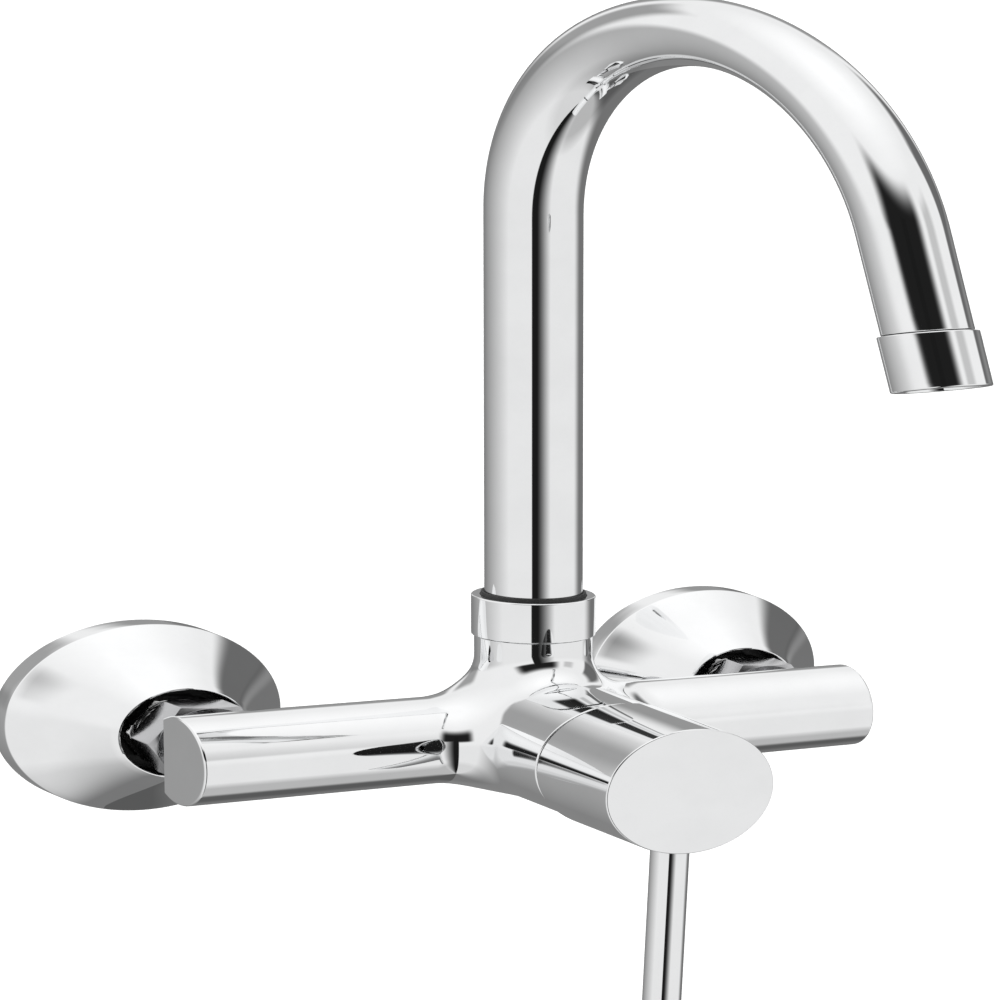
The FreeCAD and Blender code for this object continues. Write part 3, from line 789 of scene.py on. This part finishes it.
def cast_body():
    lo, hi, h = (-36.4, -29.6, -25.6), (36.4, 25.6, 34.4), 0.8
    verts, faces = surface_net(lo, hi, h)
    verts = onto_cast(verts)
    loops = border_loops(faces)
    fixed = np.zeros(len(verts), bool)
    for l in loops:
        fixed[l] = True
    # even out the quads along the surface
    e = np.vstack([faces[:, [0, 1]], faces[:, [1, 2]], faces[:, [2, 3]], faces[:, [3, 0]]])
    e = np.vstack([e, e[:, ::-1]])
    deg = np.bincount(e[:, 0], minlength=len(verts)).astype(float)
    for _ in range(14):
        s = np.zeros_like(verts)
        for k in range(3):
            s[:, k] = np.bincount(e[:, 0], weights=verts[e[:, 1], k], minlength=len(verts))
        new = verts + 0.6 * (s / deg[:, None] - verts)
        new = onto_cast(new, 2)
        verts = np.where(fixed[:, None], verts, new)
    V = [tuple(p) for p in verts]
    Fc = [tuple(int(i) for i in f) for f in faces]

    def sleeve(loop, axis, profile, pole):
        """Carries an opening's ring on along a (radius, height) profile to a pole on the axis."""
        k = int(np.argmax(np.abs(axis)))
        i1, i2 = (k + 1) % 3, (k + 2) % 3
        sgn = axis[k]
        ang = [math.atan2(V[i][i2], V[i][i1]) for i in loop]
        prev = list(loop)
        for r, hgt in profile:
            cur = []
            for a in ang:
                p = [0.0, 0.0, 0.0]
                p[k] = sgn * hgt
                p[i1] = r * math.cos(a)
                p[i2] = r * math.sin(a)
                cur.append(len(V))
                V.append(tuple(p))
            m = len(cur)
            for q in range(m):
                w = (q + 1) % m
                Fc.append((prev[w], prev[q], cur[q], cur[w]))
            prev = cur
        p = [0.0, 0.0, 0.0]
        p[k] = sgn * pole
        c = len(V)
        V.append(tuple(p))
        m = len(prev)
        for q in range(m):
            Fc.append((prev[(q + 1) % m], prev[q], c))

    def arc(cr, ch, rad, a0, a1, n):
        return [(cr + rad * math.cos(math.radians(a0 + (a1 - a0) * i / n)), ch + rad * math.sin(math.radians(a0 + (a1 - a0) * i / n)))
                for i in range(n + 1)]

    for loop in loops:
        c = np.mean([V[i] for i in loop], axis=0)
        k = int(np.argmax(np.abs(c)))
        if k == 0:
            prof = [(BAR_R, 36.8 + (89.6 - 36.8) * i / 18.0) for i in range(1, 19)]
            prof += arc(BAR_R - 0.7, 90.5 - 0.7, 0.7, 0, 90, 6) + [(12.0, 90.5), (8.0, 90.5), (4.0, 90.5)]
            sleeve(loop, (1 if c[0] > 0 else -1, 0, 0), prof, 90.5)
        elif k == 1:
            prof = [(BARREL_R, 30.0 + (47.3 - 30.0) * i / 8.0) for i in range(1, 9)]
            prof += arc(BARREL_R - 0.6, 48.0 - 0.6, 0.6, 0, 90, 8) + [(20.0, 48.0), (20.0, 44.0), (20.0, 39.5), (20.0, 35.0), (17.6, 35.0)]
            prof += [(17.6, 35.0 - 23.0 * i / 6.0) for i in range(1, 7)] + [(12.0, 12.0), (6.0, 12.0)]
            sleeve(loop, (0, -1, 0), prof, 12.0)
        else:
            prof = [(NECK_R, 35.2), (NECK_R, 36.1)] + arc(NECK_R - 0.2, 36.2, 0.2, 0, 90, 3) + [(13.4, 36.4)]
            # screw thread that the collar runs on
            z = 36.9
            while z < 45.4:
                prof += [(12.9, z), (12.9, z + 0.15), (13.4, z + 0.5), (13.4, z + 0.65)]
                z += 1.0
            prof += [(13.0, 46.1), (12.8, 46.5), (11.6, 46.5)]
            prof += [(11.6, 46.5 - 28.5 * i / 7.0) for i in range(1, 8)] + [(5.0, 18.0), (5.0, 13.0), (5.0, 8.5)]
            sleeve(loop, (0, 0, 1), prof, 8.5)
    o = raw("mixer_casting", np.array(V), Fc)
    # milled seats behind the arm ends, waterways
    for sx in (-1, 1):
        x0, x1 = (75.0, 91.5) if sx > 0 else (-91.5, -75.0)
        boolean(o, block("seat", (x0, 7.5, -16.5), (x1, 19.5, 16.5)))
        boolean(o, turned_solid("cutter", [(0, 7.5), (15.7, 7.5), (15.7, 19.5), (0, 19.5)], (sx * 75.0, 0, 0), (0, 1, 0), 144, 30.0))
        boolean(o, turned_solid("waterway", [(0, 9.5), (10.2, 9.5), (10.2, 85.5), (0, 85.5)], (0, 0, 0), (sx, 0, 0), 96, 12.0))
        boolean(o, turned_solid("inlet", [(0, 0.0), (8.0, 0.0), (8.0, 12.0), (0, 12.0)], (sx * 75.0, 0, 0), (0, 1, 0), 96, 30.0))
        boolean(o, turned_solid("port", [(0, 0.0), (3.6, 0.0), (3.6, 13.0), (0, 13.0)], (sx * 12.6, 0, -4.5), (0, -1, 0), 48, 30.0))
    boolean(o, turned_solid("mixed", [(0, 0.0), (4.6, 0.0), (4.6, 13.0), (0, 13.0)], (0, 0, 9.0), (0, -1, 0), 48, 30.0))
    settle(o, M_CAST, "mixer", ("mixer_body",), 32.0)
    # true normals on the outer skin
    me = o.data
    n = len(me.vertices)
    co = np.empty(n * 3)
    me.vertices.foreach_get("co", co)
    co = co.reshape(-1, 3) / MM
    co[:, 1] += WALL
    skin = np.abs(cast_distance(co)) < 0.012
    g = cast_gradient(co)
    g /= np.maximum(np.linalg.norm(g, axis=1), 1e-9)[:, None]
    nl = len(me.loops)
    cn = np.empty(nl * 3)
    me.corner_normals.foreach_get("vector", cn)
    cn = cn.reshape(-1, 3)
    vi = np.empty(nl, int)
    me.loops.foreach_get("vertex_index", vi)
    fn = np.empty(len(me.polygons) * 3)
    me.polygons.foreach_get("normal", fn)
    fn = fn.reshape(-1, 3)
    tot = np.empty(len(me.polygons), int)
    me.polygons.foreach_get("loop_total", tot)
    fi = np.repeat(np.arange(len(me.polygons)), tot)
    good = skin[vi] & ((fn[fi] * g[vi]).sum(axis=1) > 0.93)
    cn[good] = g[vi][good]
    me.normals_split_custom_set([tuple(v) for v in cn])
    print("casting: %d faces, %d of %d corners on the true skin" % (len(me.polygons), int(good.sum()), nl))
    return o


cast_body()


# ================================================================== floor, light, camera
def fit_floor():
    """A wide pale floor below the mixer."""
    n = 48
    verts, faces = [], []
    for j in range(n + 1):
        for i in range(n + 1):
            verts.append((-6.0 + 12.0 * i / n, -6.0 + 12.0 * j / n, -0.36))
    for j in range(n):
        for i in range(n):
            a = j * (n + 1) + i
            faces.append((a, a + 1, a + n + 2, a + n + 1))
    me = bpy.data.meshes.new("studio_floor")
    me.from_pydata(verts, [], faces)
    o = bpy.data.objects.new("studio_floor", me)
    C.objects.link(o)
    m, nt, b = new_material("floor_paint")
    v = coords(nt)
    nt.links.new(ramp(nt, noise(nt, v, 3.0, 3.0), [(0.3, 0.80), (0.7, 0.84)]), b.inputs["Base Color"])
    b.inputs["Roughness"].default_value = 0.85
    me.materials.append(m)
    o.visible_glossy = False
    return o


fit_floor()


def mth(nt, op, a, b=None, c=None, clamp=False):
    n = nt.nodes.new("ShaderNodeMath")
    n.operation = op
    n.use_clamp = clamp
    for k, x in enumerate((a, b, c)):
        if x is None:
            continue
        if hasattr(x, "type") and not isinstance(x, (int, float)):
            nt.links.new(x, n.inputs[k])
        else:
            n.inputs[k].default_value = float(x)
    return n.outputs[0]


def step(nt, x, lo, hi):
    """Soft step from 0 at lo to 1 at hi."""
    n = nt.nodes.new("ShaderNodeMapRange")
    n.interpolation_type = "SMOOTHSTEP"
    n.inputs["From Min"].default_value = min(lo, hi)
    n.inputs["From Max"].default_value = max(lo, hi)
    n.inputs["To Min"].default_value = 0.0 if lo < hi else 1.0
    n.inputs["To Max"].default_value = 1.0 if lo < hi else 0.0
    nt.links.new(x, n.inputs["Value"])
    return n.outputs["Result"]

def ramp1(nt, x, lo, hi, a, b, soft=False):
    """Value going from a (at lo) to b (at hi), held outside."""
    n = nt.nodes.new("ShaderNodeMapRange")
    n.clamp = True
    n.interpolation_type = "SMOOTHSTEP" if soft else "LINEAR"
    if lo > hi:
        lo, hi, a, b = hi, lo, b, a
    n.inputs["From Min"].default_value = lo
    n.inputs["From Max"].default_value = hi
    n.inputs["To Min"].default_value = a
    n.inputs["To Max"].default_value = b
    nt.links.new(x, n.inputs["Value"])
    return n.outputs["Result"]


def window(nt, x, a, b, c, d):
    """0 outside a..d, 1 inside b..c."""
    return mth(nt, "MULTIPLY", step(nt, x, a, b), step(nt, x, d, c))


def sky_value(nt, az, el):
    """Brightness of the studio, as seen on a screen, by azimuth and height in degrees."""
    rel = mth(nt, "WRAP", mth(nt, "SUBTRACT", az, -25.23), 180.0, -180.0)
    far = mth(nt, "ABSOLUTE", rel)
    # side walls: lighter near the front, greyer behind
    left = ramp1(nt, rel, -58.0, -152.0, 0.905, 0.50)
    right = ramp1(nt, rel, 106.0, 136.0, 0.895, 0.44, True)
    low = mth(nt, "MINIMUM", left, right)
    # the floor, greyer to the right and behind
    nadir = mth(nt, "MULTIPLY", ramp1(nt, el, -46.0, -58.0, 0.0, 1.0), ramp1(nt, rel, 20.0, 50.0, 0.35, 1.0))
    low = mth(nt, "MULTIPLY", low, mth(nt, "SUBTRACT", 1.0, mth(nt, "MULTIPLY", nadir, 0.21)))
    top = ramp1(nt, el, 40.0, 74.0, 0.925, 1.0)
    v = mth(nt, "ADD", mth(nt, "MULTIPLY", low, step(nt, el, 6.0, -6.0)), mth(nt, "MULTIPLY", top, step(nt, el, -6.0, 6.0)))
    # dark panels behind, left and right, and a grey one straight behind
    pr = mth(nt, "MULTIPLY", window(nt, rel, 114.0, 121.0, 146.0, 156.0), window(nt, el, -4.0, 4.0, 22.0, 34.0))
    pl = mth(nt, "MULTIPLY", window(nt, rel, -156.0, -146.0, -130.0, -118.0), window(nt, el, -8.0, 2.0, 22.0, 34.0))
    pb = mth(nt, "MULTIPLY", step(nt, far, 158.0, 167.0), window(nt, el, -6.0, 2.0, 17.0, 27.0))
    back = mth(nt, "MAXIMUM", mth(nt, "MULTIPLY", pr, 0.56), mth(nt, "MAXIMUM", mth(nt, "MULTIPLY", pl, 0.34), mth(nt, "MULTIPLY", pb, 0.38)))
    v = mth(nt, "MULTIPLY", v, mth(nt, "SUBTRACT", 1.0, back))
    # tall flag in front: sharp on the left, soft on the right
    flag = mth(nt, "MULTIPLY", step(nt, rel, -5.6, -3.0), ramp1(nt, rel, 8.0, 40.0, 1.0, 0.0))
    flag = mth(nt, "MULTIPLY", mth(nt, "POWER", flag, 1.25), step(nt, el, 36.0, 24.0))
    # wide bar above it, and a faint one to its right
    bar = mth(nt, "MULTIPLY", window(nt, rel, -50.0, -27.0, 30.0, 54.0), window(nt, el, 7.5, 14.0, 26.0, 44.0))
    wing = mth(nt, "MULTIPLY", window(nt, rel, 56.0, 66.0, 76.0, 90.0), window(nt, el, 8.0, 13.0, 24.0, 34.0))
    dark = mth(nt, "MAXIMUM", mth(nt, "MULTIPLY", flag, 0.86), mth(nt, "MULTIPLY", bar, 0.85))
    dark = mth(nt, "MAXIMUM", dark, mth(nt, "MULTIPLY", wing, 0.18))
    v = mth(nt, "MULTIPLY", v, mth(nt, "SUBTRACT", 1.0, dark))
    # from the screen's scale to light
    return mth(nt, "MULTIPLY", mth(nt, "POWER", v, 2.2), 1.08)


def studio_world():
    """A white studio round the mixer with dark flags, painted on the sky by direction only."""
    w = bpy.data.worlds.new("studio")
    scene.world = w
    w.use_nodes = True
    nt = w.node_tree
    nt.nodes.clear()
    out = nt.nodes.new("ShaderNodeOutputWorld")
    tc = nt.nodes.new("ShaderNodeTexCoord")
    sep = nt.nodes.new("ShaderNodeSeparateXYZ")
    nt.links.new(tc.outputs["Generated"], sep.inputs[0])
    x, y, z = sep.outputs[0], sep.outputs[1], sep.outputs[2]
    # azimuth about the vertical, 0 straight ahead of the mixer (-Y), positive towards +X
    az = mth(nt, "ARCTAN2", x, mth(nt, "MULTIPLY", y, -1.0))
    az = mth(nt, "MULTIPLY", az, 180.0 / math.pi)
    el = mth(nt, "MULTIPLY", mth(nt, "ARCSINE", z), 180.0 / math.pi)
    value = sky_value(nt, az, el)
    bg = nt.nodes.new("ShaderNodeBackground")
    nt.links.new(value, bg.inputs["Color"])
    white = nt.nodes.new("ShaderNodeBackground")
    white.inputs["Color"].default_value = (1.0, 1.0, 1.0, 1.0)
    white.inputs["Strength"].default_value = 1.0
    lp = nt.nodes.new("ShaderNodeLightPath")
    # matt surfaces, such as the floor, get the studio's fill light on top
    nt.links.new(mth(nt, "ADD", 1.0, mth(nt, "MULTIPLY", lp.outputs["Is Diffuse Ray"], 1.1)), bg.inputs["Strength"])
    mix = nt.nodes.new("ShaderNodeMixShader")
    nt.links.new(lp.outputs["Is Camera Ray"], mix.inputs["Fac"])
    nt.links.new(bg.outputs[0], mix.inputs[1])
    nt.links.new(white.outputs[0], mix.inputs[2])
    nt.links.new(mix.outputs[0], out.inputs["Surface"])


studio_world()


def add_camera():
    """Long lens from the left and above, with its film back swung about the vertical."""
    a, e, D, s, k = math.radians(-25.23), math.radians(15.59), 2000.0, 1.48, 2.756
    cu, cv = 533.8, 731.1
    r = Vector((math.cos(a), math.sin(a), 0))
    u = Vector((-math.sin(a) * math.sin(e), math.cos(a) * math.sin(e), math.cos(e)))
    b = Vector((math.sin(a) * math.cos(e), -math.cos(a) * math.cos(e), math.sin(e)))
    ref = Vector((0, -WALL * MM, 0))
    loc = ref + b * (D * MM)
    c = 1.0 / s
    c0 = (r * c + b * math.sqrt(1 - c * c)).normalized()
    c1 = u.normalized()
    f = k * D * 36.0 / 1000.0
    px = (cu - 500.0) * 36.0 / 1000.0
    py = -(cv - 500.0) * 36.0 / 1000.0
    axis = b * f + c0 * px + c1 * py
    lens = axis.length
    c2 = axis.normalized()
    cam = bpy.data.cameras.new("camera")
    cam.lens = lens
    cam.sensor_width = 36.0
    cam.clip_start = 0.1
    cam.clip_end = 50.0
    o = bpy.data.objects.new("camera", cam)
    C.objects.link(o)
    back = bpy.data.objects.new("camera_swing", None)
    C.objects.link(back)
    o.parent = back
    m = Matrix.Identity(4)
    for i, col in enumerate((c0, c1, c2, loc)):
        for j in range(3):
            m[j][i] = col[j]
    o.matrix_parent_inverse = m
    scene.camera = o
    return o


camera = add_camera()
